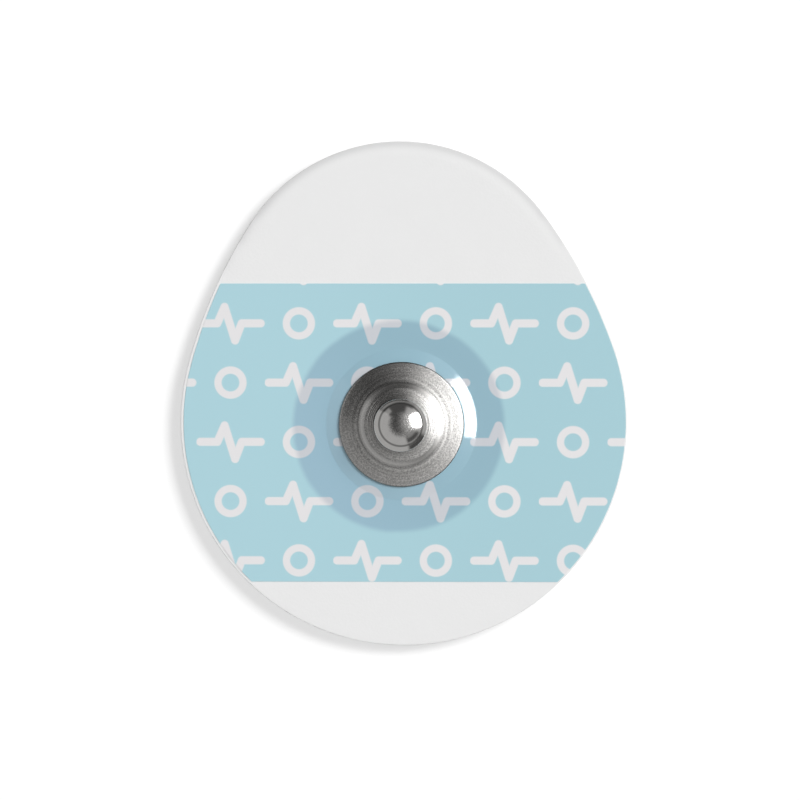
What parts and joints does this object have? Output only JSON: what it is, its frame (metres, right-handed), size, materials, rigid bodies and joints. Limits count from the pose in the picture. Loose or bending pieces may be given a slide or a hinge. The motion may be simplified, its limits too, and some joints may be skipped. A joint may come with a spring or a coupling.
{
  "type": "ecg electrode",
  "caption": "Disposable snap ECG electrode: round foam backing narrowing to a dome, blue film strip, metal snap stud, sensor eyelet and gel sponge.",
  "frame": {"origin": "the stud's axis in the skin plane, at the middle of the gel sponge's underside", "axes": "+Z out of the skin along the stud, +Y to the narrow end of the backing, +X across it"},
  "size_m": [0.0339, 0.0382, 0.0052],
  "materials": {
    "white_foam": "matte closed-cell foam",
    "blue_film": "glossy printed film",
    "bright_metal": "satin drawn metal",
    "silver_coating": "matte silver coating on plastic",
    "wet_sponge": "wet open-cell sponge"
  },
  "bodies": {
    "root": {"foam_backing": "white_foam", "label_film": "blue_film", "snap_stud": "bright_metal", "sensor_eyelet": "silver_coating", "gel_sponge": "wet_sponge"}
  },
  "joints": []
}
